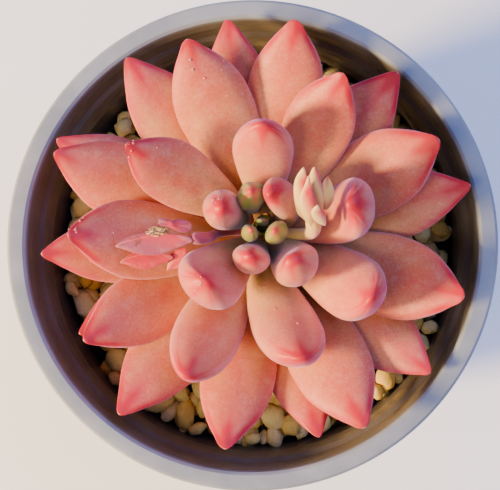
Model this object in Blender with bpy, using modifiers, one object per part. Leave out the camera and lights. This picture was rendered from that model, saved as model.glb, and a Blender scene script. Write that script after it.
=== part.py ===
"""Potted succulent: a fleshy pink rosette with two flower stalks, grown in a grit-topped plastic pot.

Metres, +Z up. The origin is the middle of the pot's foot, on the surface that the pot stands on.
From the bench up: pot, soil, gravel, stem, leaves (oldest lowest), crown bud and the two flower stalks.
"""

import math
from typing import NamedTuple

import bmesh
import bpy
from mathutils import Vector

MM = 0.001
UP = Vector((0, 0, 1))
GOLDEN_ANGLE = math.pi * (3 - math.sqrt(5))

# Clearances between neighbours
GAP = 0.3 * MM  # between pieces that rest on each other
LEAF_TO_RIM = 0.6 * MM  # from the furthest leaf's tip to the pot's mouth

# Pot, injection moulded: a tapered body, a stacking step, a flat rim and a turned-down lip
POT_HEIGHT = 80 * MM
RIM_RADIUS = 47.5 * MM
RIM_WIDTH = 3.5 * MM
RIM_THICKNESS = 1.4 * MM
RIM_EDGE = 0.5 * MM
LIP_DEPTH = 5 * MM
LIP_WALL = 1.1 * MM
BASE_RADIUS = 34 * MM
WALL = 1.3 * MM
COLLAR_DEPTH = 9 * MM
COLLAR_STEP = 0.8 * MM
FLOOR_RISE = 3 * MM  # the floor's underside stands this far above the bench
FOOT_WIDTH = 2.6 * MM
FOOT_EDGE = 0.8 * MM
DRAIN_RADIUS = 3.2 * MM
DRAIN_CIRCLE = 20 * MM
DRAIN_COUNT = 6
DRAIN_SIDES = 24
POT_SIDES = 64

# Filling
HEADSPACE = 18 * MM  # from the rim down to the tops of the stones
GRAVEL_DEPTH = 7.5 * MM
STONE_RADIUS = 2.9 * MM
STONE_COVER = 0.8  # share of the bed's area that the stones cover
STONE_DIP = 2.2 * MM  # how far the hollows between stones lie below their tops
BED_RINGS = 16
BED_SIDES = 48

# Stem: it leans, so its middle is given at the gravel and at the crown
STEM_FOOT = Vector((1.2, 0.7, 0)) * MM
STEM_CROWN = Vector((2.8, 3.7, 0)) * MM
STEM_RADIUS = 3.4 * MM
STEM_TOP_RADIUS = 1.5 * MM
STEM_RISE = 25 * MM  # above the gravel
ROOT_DEPTH = 24 * MM  # below the gravel
ROOT_RADIUS = 1.8 * MM
STEM_STEPS = 12
TUBE_RESOLUTION = 3  # a tube's section has twice this many sides, and four more

MOUTH_RADIUS = RIM_RADIUS - RIM_WIDTH
COLLAR_FOOT = POT_HEIGHT - COLLAR_DEPTH
LIP_FOOT = POT_HEIGHT - LIP_DEPTH
FLOOR_TOP = FLOOR_RISE + WALL
GRAVEL_TOP = POT_HEIGHT - HEADSPACE
SOIL_TOP = GRAVEL_TOP - GRAVEL_DEPTH

# The plant has filled its pot, so all of it grows with the pot's mouth
FURTHEST_TIP = 43.4 * MM  # from the pot's axis, with the reaches in the table below
GROWTH = (MOUTH_RADIUS - LEAF_TO_RIM) / FURTHEST_TIP


class Form(NamedTuple):
    """The outline that fleshy pieces of one kind share."""

    plump: float  # thickness as a share of width
    widest: float  # how far along the piece it is widest
    neck: float  # its width where it starts, as a share of its width
    end: float  # exponent of the end's outline: 0.5 is round, 1 is pointed
    slices: int
    sides: int


FORMS = {
    "heart": Form(plump=0.78, widest=0.62, neck=0.50, end=0.50, slices=8, sides=10),
    "inner": Form(plump=0.60, widest=0.64, neck=0.34, end=0.52, slices=10, sides=12),
    "middle": Form(plump=0.38, widest=0.64, neck=0.30, end=0.68, slices=10, sides=12),
    "outer": Form(plump=0.30, widest=0.62, neck=0.30, end=0.72, slices=10, sides=12),
    "scale": Form(plump=0.55, widest=0.45, neck=0.50, end=0.75, slices=7, sides=8),
    "sepal": Form(plump=0.32, widest=0.50, neck=0.45, end=0.85, slices=7, sides=8),
}

# The leaves, youngest first, so that each lies over those after it. Angles are in degrees, and
# lengths in mm: form, bearing of the tip from +X, reach from the stem, rise above the gravel, width,
# how far round the stem from the tip's bearing the leaf starts, and its pitch at its start and tip.
LEAVES = [
    ("heart", 320, 3, 33, 4.5, 0, 80, 95),
    ("heart", 221, 2.5, 32.5, 3.5, 0, 80, 100),
    ("heart", 108, 5.6, 35, 4.5, 10, 65, 85),
    ("heart", 71, 5, 35.5, 7.5, -55, 29, 110),
    ("heart", 254, 6.5, 35, 7, 0, 46, 95),
    ("heart", 310, 8.5, 35.5, 9, 0, 2, 130),
    ("heart", 159, 7.2, 36.5, 8.4, 0, 59, 100),
    ("inner", 11, 16.5, 38, 11.5, -10, -8, 130),
    ("inner", 88, 18, 36, 11.5, 0, 32, 70),
    ("middle", 149, 28.5, 33, 12, -4, 16, 40),
    ("inner", 227, 14, 37, 13, 0, 44, 110),
    ("inner", 327, 24.5, 34, 13, 0, 3, 85),
    ("middle", 61, 32, 32, 13, -3, 21, 45),
    ("inner", 288, 25.5, 33.5, 13, -17, 16, 75),
    ("middle", 111, 37.5, 29.5, 14.5, -3, 17, 35),
    ("middle", 182, 35.5, 29.5, 15, 12, 19, 40),
    ("inner", 244, 30.5, 33, 13, -6, 1, 55),
    ("middle", 26, 37, 29.5, 15, 0, 18, 35),
    ("middle", 298, 41.5, 26, 15, 0, 7, 30),
    ("middle", 80, 40, 27, 14.5, 0, 16, 35),
    ("middle", 159, 41.5, 25, 14.5, 4, 14, 30),
    ("middle", 212, 38.5, 26, 13.5, 0, 5, 35),
    ("middle", 342, 40, 27, 15.5, 0, 18, 35),
    ("middle", 261, 41, 23.5, 14, 0, 6, 30),
    ("outer", 49, 40, 23, 13.5, 0, 12, 20),
    ("outer", 127, 42, 22.5, 14, 0, 14, 20),
    ("outer", 185, 41.5, 21.5, 13, 0, 8, 20),
    ("outer", 321, 41.5, 21, 14, 0, 9, 20),
    ("outer", 232, 43, 20.5, 14, -2, 9, 20),
    ("outer", 13, 41, 22.5, 13, 0, 15, 25),
    ("outer", 98, 41.5, 22.5, 13, 0, 10, 25),
    ("outer", 154, 43, 19.5, 13, 0, 11, 20),
    ("outer", 287, 39.5, 20, 12.5, 0, 11, 25),
    ("outer", 208, 39, 17, 12, 0, 3, 20),
]
YOUNGEST_START = 24.5 * MM  # height above the gravel where the youngest leaf joins the stem
OLDEST_START = 3.5 * MM
START_SPREAD = 0.85  # below 1, the young leaves' joints are closer together than the old ones'
TOP_SHARE = 0.42  # how much of a leaf's thickness lies above its middle line
SWELL = 1.3  # above 1, a piece stays narrow for longer after its start
BASE_CAP = 0.10  # how far along a piece its rounded start reaches
ARM = 0.36  # how far a piece keeps its starting and ending directions, as a share of its length
POINT_LENGTH = 0.6 * MM  # the small point at a leaf's end
END_SHARE = 0.001  # the last vertex, which makes that point, lies within this share of the end

CROWN_BUD_RISE = 30.5 * MM  # above the gravel
CROWN_BUD_WIDTH = 1.7 * MM

# Places on the flowers are (x, y, rise) in mm, x and y from the crown's middle and rise above the
# gravel. A stalk leaves the stem at a bearing and rise, and thickens towards its flowers.
NEW_STALK_START = (343.1, 21.2)
NEW_STALK = [(4.7, -2.1, 23.2), (7.6, -2.3, 25.3), (9.0, -2.2, 29.1), (9.5, -1.6, 31.9), (9.4, 0.2, 34.2)]
OLD_STALK_START = (192, 17.1)
OLD_STALK = [
    (-5.9, -1.4, 18),
    (-8.4, -1.7, 20),
    (-9.6, -2.1, 23),
    (-9.9, -2.8, 25.5),
    (-11, -3.1, 28),
    (-13, -3.3, 29.4),
]
STALK_RADII = (0.5 * MM, 1.0 * MM)

# Bud scales and sepals: form, start, tip, width in mm
NEW_SCALES = [
    ("scale", (7.3, 0.4, 35.6), (8.1, 7.6, 42.4), 3.0),
    ("scale", (8.6, -0.2, 36.6), (8.9, 5.6, 44), 2.5),
    ("scale", (9.9, 1.6, 34.9), (10.1, 8.4, 43.5), 2.3),
    ("scale", (11.7, 1.6, 34.6), (12.1, 7.2, 41), 2.0),
    ("scale", (10.6, -0.9, 35.8), (10.6, 1.6, 40.4), 2.4),
]
OLD_SEPALS = [
    ("sepal", (-14.4, -3.3, 30.4), (-26.5, -4.9, 29.6), 3.9),
    ("sepal", (-17.8, -6.5, 28.6), (-26, -7.8, 28.4), 3.0),
    ("sepal", (-14.5, -4.9, 28.2), (-18, -9, 26.6), 2.4),
    ("sepal", (-13.8, -1.2, 30.1), (-18.8, -0.3, 31.9), 2.8),
]


def make_material(name, colour, roughness, metallic=0.0):
    material = bpy.data.materials.new(name)
    material.use_nodes = True
    shader = material.node_tree.nodes["Principled BSDF"]
    shader.inputs["Base Color"].default_value = (*colour, 1)
    shader.inputs["Roughness"].default_value = roughness
    shader.inputs["Metallic"].default_value = metallic
    return material


def mesh_object(name, bm, material, collection):
    mesh = bpy.data.meshes.new(name)
    bm.to_mesh(mesh)
    bm.free()
    mesh.shade_smooth()
    mesh.set_sharp_from_angle(angle=math.radians(40))
    if material:
        mesh.materials.append(material)
    obj = bpy.data.objects.new(name, mesh)
    collection.objects.link(obj)
    return obj


def turned(name, profile, sides, material, collection):
    """A solid of revolution about Z. The profile is (radius, height) pairs, down its outer side."""
    mesh = bpy.data.meshes.new(name)
    edges = [(i, i + 1) for i in range(len(profile) - 1)]
    mesh.from_pydata([(radius, 0, height) for radius, height in profile], edges, [])
    mesh.materials.append(material)
    obj = bpy.data.objects.new(name, mesh)
    collection.objects.link(obj)
    screw = obj.modifiers.new("turn", "SCREW")
    screw.steps = screw.render_steps = sides
    screw.use_merge_vertices = True
    screw.merge_threshold = 0.01 * MM
    screw.use_smooth_shade = True
    return obj


def evaluated_mesh(obj):
    graph = bpy.context.evaluated_depsgraph_get()
    return bpy.data.meshes.new_from_object(obj.evaluated_get(graph))


def tube(name, points, radii, material, collection):
    """A round tube through the points, with a radius at each and closed ends."""
    curve = bpy.data.curves.new(name, "CURVE")
    curve.dimensions = "3D"
    curve.bevel_depth = 1
    curve.bevel_resolution = TUBE_RESOLUTION
    curve.use_fill_caps = True
    spline = curve.splines.new("POLY")
    spline.points.add(len(points) - 1)
    for knot, point, radius in zip(spline.points, points, radii):
        knot.co = (*point, 1)
        knot.radius = radius
    if material:
        curve.materials.append(material)
    obj = bpy.data.objects.new(name, curve)
    collection.objects.link(obj)
    return obj


def as_cutter(curve_object, collection):
    """The tube as a closed mesh that a Boolean can use."""
    mesh = evaluated_mesh(curve_object)
    bm = bmesh.new()
    bm.from_mesh(mesh)
    bmesh.ops.remove_doubles(bm, verts=bm.verts, dist=0.001 * MM)
    bmesh.ops.recalc_face_normals(bm, faces=bm.faces)
    bm.to_mesh(mesh)
    bm.free()
    name = curve_object.name
    place = curve_object.matrix_world.copy()
    bpy.data.objects.remove(curve_object)
    cutter = bpy.data.objects.new(name, mesh)
    cutter.matrix_world = place
    collection.objects.link(cutter)
    cutter.hide_render = True
    cutter.display_type = "WIRE"
    return cutter


def cut(obj, cutter):
    boolean = obj.modifiers.new("cut " + cutter.name, "BOOLEAN")
    boolean.operation = "DIFFERENCE"
    boolean.object = cutter


# Pot


def wall_radius(height):
    """The pot's inner radius at a height, without the step below the collar."""
    foot = BASE_RADIUS - WALL + COLLAR_STEP
    return foot + (MOUTH_RADIUS - foot) * height / POT_HEIGHT


def body_radius(height):
    return wall_radius(height) - COLLAR_STEP


def pot_profile():
    under_rim = POT_HEIGHT - RIM_THICKNESS
    step_foot = COLLAR_FOOT - COLLAR_STEP
    floor_edge = FLOOR_TOP + FOOT_EDGE
    lip_inside = RIM_RADIUS - LIP_WALL
    foot_inside = BASE_RADIUS - FOOT_WIDTH
    return [
        (MOUTH_RADIUS + RIM_EDGE, POT_HEIGHT),
        (RIM_RADIUS - RIM_EDGE, POT_HEIGHT),
        (RIM_RADIUS, POT_HEIGHT - RIM_EDGE),
        (RIM_RADIUS, LIP_FOOT),
        (lip_inside, LIP_FOOT),
        (lip_inside, under_rim),
        (wall_radius(under_rim) + WALL, under_rim),
        (wall_radius(COLLAR_FOOT) + WALL, COLLAR_FOOT),
        (body_radius(step_foot) + WALL, step_foot),
        (body_radius(FOOT_EDGE) + WALL, FOOT_EDGE),
        (body_radius(0) + WALL - FOOT_EDGE, 0),
        (foot_inside, 0),
        (foot_inside, FLOOR_RISE),
        (0, FLOOR_RISE),
        (0, FLOOR_TOP),
        (body_radius(FLOOR_TOP) - FOOT_EDGE, FLOOR_TOP),
        (body_radius(floor_edge), floor_edge),
        (body_radius(step_foot), step_foot),
        (wall_radius(COLLAR_FOOT), COLLAR_FOOT),
        (wall_radius(POT_HEIGHT - RIM_EDGE), POT_HEIGHT - RIM_EDGE),
        (MOUTH_RADIUS + RIM_EDGE, POT_HEIGHT),
    ]


def make_drains(collection):
    """One cutter for all the drainage holes, through the floor."""
    bm = bmesh.new()
    for i in range(DRAIN_COUNT):
        middle = direction(math.tau * i / DRAIN_COUNT) * DRAIN_CIRCLE
        drill = bmesh.ops.create_cone(
            bm,
            segments=DRAIN_SIDES,
            radius1=DRAIN_RADIUS,
            radius2=DRAIN_RADIUS,
            depth=4 * FLOOR_TOP,
            cap_ends=True,
        )
        bmesh.ops.translate(bm, verts=drill["verts"], vec=middle)
    cutter = mesh_object("drain_drills", bm, None, collection)
    cutter.hide_render = True
    cutter.display_type = "WIRE"
    return cutter


def make_pot(parts, cutters):
    plastic = make_material("moulded plastic", (0.30, 0.31, 0.31), 0.35)
    pot = turned("pot", pot_profile(), POT_SIDES, plastic, parts)
    cut(pot, make_drains(cutters))


# Filling


def stone_places(radius):
    """Middles of the stones, spread evenly over a disc like the seeds of a sunflower."""
    count = round(STONE_COVER * (radius / STONE_RADIUS) ** 2)
    places = []
    for i in range(count):
        reach = radius * math.sqrt((i + 0.5) / count)
        places.append(direction(i * GOLDEN_ANGLE) * reach)
    return places


def make_soil(parts, root_cutter):
    top = SOIL_TOP - GAP
    bottom = FLOOR_TOP + FOOT_EDGE + GAP
    profile = [
        (0, top),
        (body_radius(top) - GAP, top),
        (body_radius(bottom) - GAP, bottom),
        (0, bottom),
    ]
    peat = make_material("potting soil", (0.02, 0.013, 0.01), 0.95)
    soil = turned("soil", profile, POT_SIDES, peat, parts)
    cut(soil, root_cutter)


def make_gravel(parts, root_cutter):
    """The grit as one body, whose top is domed where each stone lies."""
    edge = body_radius(GRAVEL_TOP - STONE_DIP) - GAP
    rings = [(edge * i / BED_RINGS, GRAVEL_TOP) for i in range(BED_RINGS + 1)]
    foot = [(body_radius(SOIL_TOP) - GAP, SOIL_TOP), (0, SOIL_TOP)]
    grit = make_material("pumice grit", (0.55, 0.42, 0.22), 0.9)
    gravel = turned("gravel", rings + foot, BED_SIDES, grit, parts)
    gravel.data = evaluated_mesh(gravel)
    gravel.modifiers.clear()
    stones = stone_places(edge - STONE_RADIUS / 2)
    for vertex in gravel.data.vertices:
        if vertex.co.z < GRAVEL_TOP - GAP:
            continue
        flat = Vector((vertex.co.x, vertex.co.y, 0))
        nearest = min((flat - stone).length for stone in stones)
        vertex.co.z -= STONE_DIP * min(1, (nearest / STONE_RADIUS) ** 2)
    cut(gravel, root_cutter)


# Plant


def direction(bearing, pitch=0):
    """The unit vector at a bearing from +X and a pitch above the level, in radians."""
    level = Vector((math.cos(bearing), math.sin(bearing), 0)) * math.cos(pitch)
    return level + UP * math.sin(pitch)


def stem_at(rise):
    """The stem's middle and radius at a height above the gravel, both grown with the plant."""
    share = rise / STEM_RISE
    middle = STEM_FOOT.lerp(STEM_CROWN, share) + UP * rise
    radius = STEM_RADIUS + (STEM_TOP_RADIUS - STEM_RADIUS) * share
    return UP * GRAVEL_TOP + middle * GROWTH, radius * GROWTH


def stem_path(extra=0):
    """Points and radii from the root's end to the crown, the radii enlarged by extra."""
    points = [UP * (GRAVEL_TOP - ROOT_DEPTH - extra) + STEM_FOOT * GROWTH]
    radii = [ROOT_RADIUS + extra]
    for i in range(STEM_STEPS + 1):
        middle, radius = stem_at(STEM_RISE * i / STEM_STEPS)
        points.append(middle)
        radii.append(radius + extra)
    return points, radii


def half_width(form, along):
    """Half the width at a share of the length, as a share of the full width."""
    capped = min(1, along / BASE_CAP)
    cap = math.sqrt(1 - (1 - capped) ** 2)
    if along < form.widest:
        swell = math.sin(math.pi / 2 * along / form.widest) ** SWELL
        return 0.5 * cap * (form.neck + (1 - form.neck) * swell)
    rest = (along - form.widest) / (1 - form.widest)
    return 0.5 * cap * (1 - rest**2) ** form.end


def fleshy(name, form, start, leave, tip, arrive, across, width, material, collection):
    """A leaf, bud scale or sepal: a sphere drawn out along a curve and flattened.

    It leaves its start along one unit vector and arrives at its tip along another, and its upper
    side faces away from the vector product of across and its length.
    """
    length = (tip - start).length
    knots = (start, start + leave * length * ARM, tip - arrive * length * ARM, tip)
    bm = bmesh.new()
    bmesh.ops.create_uvsphere(bm, u_segments=form.sides, v_segments=form.slices, radius=1)
    for vertex in bm.verts:
        round_angle = math.atan2(vertex.co.y, vertex.co.x)
        along = (1 + vertex.co.z) / 2
        if along > 1 - END_SHARE:
            vertex.co = tip + arrive * POINT_LENGTH * GROWTH
            continue
        rest = 1 - along
        weights = (rest**3, 3 * along * rest**2, 3 * along**2 * rest, along**3)
        middle = sum((knot * weight for knot, weight in zip(knots, weights)), Vector())
        heading = (knots[1] - knots[0]) * rest**2
        heading += (knots[2] - knots[1]) * 2 * along * rest
        heading += (knots[3] - knots[2]) * along**2
        heading.normalize()
        side = (across - heading * across.dot(heading)).normalized()
        upper = heading.cross(side)
        half = half_width(form, along) * width
        height = math.sin(round_angle)
        share = TOP_SHARE if height > 0 else 1 - TOP_SHARE
        thickness = 2 * half * form.plump * share * height
        vertex.co = middle + side * half * math.cos(round_angle) + upper * thickness
    return mesh_object(name, bm, material, collection)


def leaf_colour(age):
    """Cream green at the heart, pink further out."""
    young, old = Vector((0.62, 0.52, 0.30)), Vector((0.72, 0.27, 0.22))
    return tuple(young.lerp(old, min(1, 2.2 * age)))


def make_leaves(collection):
    counts = {}
    for rank, row in enumerate(LEAVES):
        kind, bearing, reach, rise, width, turn, leave, arrive = row
        age = rank / (len(LEAVES) - 1)
        counts[kind] = counts.get(kind, 0) + 1
        name = f"{kind}_leaf_{counts[kind]}"
        start_rise = OLDEST_START + (YOUNGEST_START - OLDEST_START) * (1 - age**START_SPREAD)
        middle, radius = stem_at(start_rise)
        bearing = math.radians(bearing)
        begin = bearing + math.radians(turn)
        form = FORMS[kind]
        leave = math.radians(leave)
        heel = form.neck * form.plump * width * MM * GROWTH / 2 * max(0, math.sin(leave))
        start = middle + direction(begin) * (radius + GAP + heel)
        tip = middle + direction(bearing) * reach * MM * GROWTH
        tip.z = GRAVEL_TOP + rise * MM * GROWTH
        fleshy(
            name,
            form,
            start,
            direction(begin, leave),
            tip,
            direction(bearing, math.radians(arrive)),
            direction(begin + math.pi / 2),
            width * MM * GROWTH,
            make_material(name + " skin", leaf_colour(age), 0.5),
            collection,
        )


def make_crown_bud(collection):
    crown, _ = stem_at(STEM_RISE)
    start = crown + UP * GAP
    tip = UP * (GRAVEL_TOP + CROWN_BUD_RISE * GROWTH) + STEM_CROWN * GROWTH
    skin = make_material("crown bud skin", (0.35, 0.40, 0.18), 0.5)
    width = CROWN_BUD_WIDTH * GROWTH
    fleshy("crown_bud", FORMS["scale"], start, UP, tip, UP, direction(0), width, skin, collection)


def from_crown(place):
    x, y, rise = place
    crown = STEM_CROWN * GROWTH + UP * GRAVEL_TOP
    return crown + Vector((x, y, rise)) * MM * GROWTH


def make_stalk(name, start, places, colour, collection):
    bearing, rise = start
    middle, radius = stem_at(rise * MM)
    points = [middle + direction(math.radians(bearing)) * (radius + GAP)]
    points += [from_crown(place) for place in places]
    thin, thick = STALK_RADII
    radii = [(thin + (thick - thin) * i / len(places)) * GROWTH for i in range(len(points))]
    return tube(name, points, radii, make_material(name + " skin", colour, 0.5), collection)


def make_scales(name, rows, colour, collection):
    for i, (kind, start, tip, width) in enumerate(rows):
        begin, end = from_crown(start), from_crown(tip)
        heading = (end - begin).normalized()
        fleshy(
            f"{name}_{i + 1}",
            FORMS[kind],
            begin,
            heading,
            end,
            heading,
            UP.cross(heading),
            width * MM * GROWTH,
            make_material(f"{name} {i + 1} skin", colour, 0.5),
            collection,
        )


def make_plant(parts):
    points, radii = stem_path()
    tube("stem", points, radii, make_material("stem bark", (0.30, 0.19, 0.12), 0.8), parts)
    make_leaves(parts)
    make_crown_bud(parts)
    make_stalk("new_flower_stalk", NEW_STALK_START, NEW_STALK, (0.80, 0.68, 0.45), parts)
    make_scales("new_bud_scale", NEW_SCALES, (0.85, 0.70, 0.50), parts)
    make_stalk("old_flower_stalk", OLD_STALK_START, OLD_STALK, (0.65, 0.22, 0.20), parts)
    make_scales("old_sepal", OLD_SEPALS, (0.70, 0.18, 0.20), parts)


def make_collection(name, parent):
    collection = bpy.data.collections.new(name)
    parent.children.link(collection)
    return collection


def main():
    for obj in list(bpy.data.objects):
        bpy.data.objects.remove(obj)
    scene = bpy.context.scene
    parts = make_collection("potted_succulent", scene.collection)
    cutters = make_collection("cutters", scene.collection)
    cutters.hide_render = True
    points, radii = stem_path(GAP)
    root_cutter = as_cutter(tube("root_hole", points, radii, None, cutters), cutters)
    make_pot(parts, cutters)
    make_soil(parts, root_cutter)
    make_gravel(parts, root_cutter)
    make_plant(parts)


main()
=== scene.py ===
import math

import bmesh
import bpy
import numpy as np
from mathutils import Matrix, Quaternion, Vector
from mathutils.noise import random, seed_set


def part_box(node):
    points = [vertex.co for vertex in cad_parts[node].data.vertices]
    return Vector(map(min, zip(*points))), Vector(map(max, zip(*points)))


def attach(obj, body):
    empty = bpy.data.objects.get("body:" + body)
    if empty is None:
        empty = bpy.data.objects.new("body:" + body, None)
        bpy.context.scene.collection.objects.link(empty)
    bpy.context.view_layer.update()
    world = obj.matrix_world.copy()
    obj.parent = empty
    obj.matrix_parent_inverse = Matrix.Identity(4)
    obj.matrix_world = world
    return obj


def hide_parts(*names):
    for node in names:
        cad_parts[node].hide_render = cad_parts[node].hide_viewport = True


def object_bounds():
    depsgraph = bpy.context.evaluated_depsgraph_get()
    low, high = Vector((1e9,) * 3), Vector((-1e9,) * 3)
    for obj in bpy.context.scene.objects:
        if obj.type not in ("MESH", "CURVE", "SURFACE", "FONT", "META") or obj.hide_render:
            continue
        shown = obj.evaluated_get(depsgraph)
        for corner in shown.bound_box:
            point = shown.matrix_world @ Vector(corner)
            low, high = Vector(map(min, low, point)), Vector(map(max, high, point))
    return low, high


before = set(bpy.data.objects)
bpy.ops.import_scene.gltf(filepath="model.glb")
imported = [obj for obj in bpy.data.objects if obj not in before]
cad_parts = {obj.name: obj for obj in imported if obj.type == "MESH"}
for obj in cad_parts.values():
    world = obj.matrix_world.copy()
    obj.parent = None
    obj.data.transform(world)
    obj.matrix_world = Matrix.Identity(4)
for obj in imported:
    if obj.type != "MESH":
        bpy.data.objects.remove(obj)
cadBounds = [list(corner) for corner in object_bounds()]
mm = 0.001
almostNothing = 0.01  # millimetres; a ring drawn in this far is merged to a point
up = Vector((0, 0, 1))

# The parts that the looks are measured from
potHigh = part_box("pot")[1]
gravelLow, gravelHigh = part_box("gravel")
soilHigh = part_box("soil")[1]
budLow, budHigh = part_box("crown_bud")
crown = Vector(((budLow.x + budHigh.x) / 2, (budLow.y + budHigh.y) / 2, budLow.z))


def selectNothing():
    bpy.ops.object.select_all(action="DESELECT")


def makeActive(piece):
    selectNothing()
    piece.select_set(True)
    bpy.context.view_layer.objects.active = piece
    return piece


def applyAll(piece):
    makeActive(piece)
    for modifier in list(piece.modifiers):
        bpy.ops.object.modifier_apply(modifier=modifier.name)
    return piece


def applyPlace(piece):
    makeActive(piece)
    bpy.ops.object.transform_apply(location=True, rotation=True, scale=True)
    return piece


def smooth(piece, degrees=None):
    makeActive(piece)
    if degrees:
        bpy.ops.object.shade_smooth_by_angle(angle=math.radians(degrees))
    else:
        bpy.ops.object.shade_smooth()
    return piece


def finishPiece(piece, nodes=()):
    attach(piece, "root")
    if nodes:
        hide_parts(*nodes)
    return piece


def setPaint(piece, material):
    piece.data.materials.clear()
    piece.data.materials.append(material)
    return piece


def joinPieces(pieces, name):
    makeActive(pieces[0])
    for piece in pieces:
        piece.select_set(True)
    bpy.ops.object.join()
    pieces[0].name = name
    pieces[0].data.name = name
    return pieces[0]


# Materials


def colour(hexValue, alpha=1):
    parts = [int(hexValue[i : i + 2], 16) / 255 for i in (1, 3, 5)]
    linear = [c / 12.92 if c <= 0.04045 else ((c + 0.055) / 1.055) ** 2.4 for c in parts]
    return (*linear, alpha)


def addNode(tree, kind, settings=None, links=None):
    node = tree.nodes.new(kind)
    for key, value in (settings or {}).items():
        if key == "stops":
            while len(node.color_ramp.elements) < len(value):
                node.color_ramp.elements.new(0.5)
            for element, (position, tint) in zip(node.color_ramp.elements, value):
                element.position = position
                element.color = colour(tint)
        elif isinstance(key, int) or key in node.inputs:
            node.inputs[key].default_value = value
        else:
            setattr(node, key, value)
    for key, source in (links or {}).items():
        tree.links.new(source, node.inputs[key])
    return node


def newMaterial(name, settings):
    material = bpy.data.materials.new(name)
    material.use_nodes = True
    tree = material.node_tree
    shader = tree.nodes["Principled BSDF"]
    for key, value in settings.items():
        shader.inputs[key].default_value = value
    return material, tree, shader


def grain(tree, place, size, detail=2, roughness=0.5):
    # a noise whose lumps are about size millimetres across
    settings = {"Scale": 1 / (size * mm), "Detail": detail, "Roughness": roughness}
    return addNode(tree, "ShaderNodeTexNoise", settings, {"Vector": place}).outputs["Fac"]


def spread(tree, value, fromLow, fromHigh, low=0.0, high=1.0):
    settings = {1: fromLow, 2: fromHigh, 3: low, 4: high}
    return addNode(tree, "ShaderNodeMapRange", settings, {0: value}).outputs[0]


def sums(tree, operation, first, second):
    links = {i: v for i, v in enumerate((first, second)) if not isinstance(v, (int, float))}
    numbers = {i: v for i, v in enumerate((first, second)) if isinstance(v, (int, float))}
    return addNode(tree, "ShaderNodeMath", {"operation": operation, **numbers}, links).outputs[0]


def blendColours(tree, share, first, second, kind="MIX"):
    settings = {"data_type": "RGBA", "blend_type": kind}
    links = {}
    for key, value in ((0, share), (6, first), (7, second)):
        if isinstance(value, (int, float)):
            settings[key] = value
        elif isinstance(value, str):
            settings[key] = colour(value)
        else:
            links[key] = value
    return addNode(tree, "ShaderNodeMix", settings, links).outputs[2]


def objectPlace(tree):
    return addNode(tree, "ShaderNodeTexCoord").outputs["Object"]


def ownValue(tree, name):
    return addNode(tree, "ShaderNodeAttribute", {"attribute_name": name}).outputs["Fac"]


def addBump(tree, shader, height, depth, strength=1.0):
    settings = {"Strength": strength, "Distance": depth * mm}
    bump = addNode(tree, "ShaderNodeBump", settings, {"Height": height})
    if shader.inputs["Normal"].links:
        tree.links.new(shader.inputs["Normal"].links[0].from_socket, bump.inputs["Normal"])
    tree.links.new(bump.outputs["Normal"], shader.inputs["Normal"])


skinColours = {
    "waxSheen": "#C6C2FF",
    "core": "#D8603A",
    "pores": "#F8D2A4",
    "bloom": "#F2C8A8",
    "edgeLine": "#F5A58E",
    "withered": "#6E3A26",
    "dryTip": "#F0B49A",
}
plainTip = (0.80, 0.90)  # over this stretch of a leaf its flecks and bloom fade out


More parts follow.
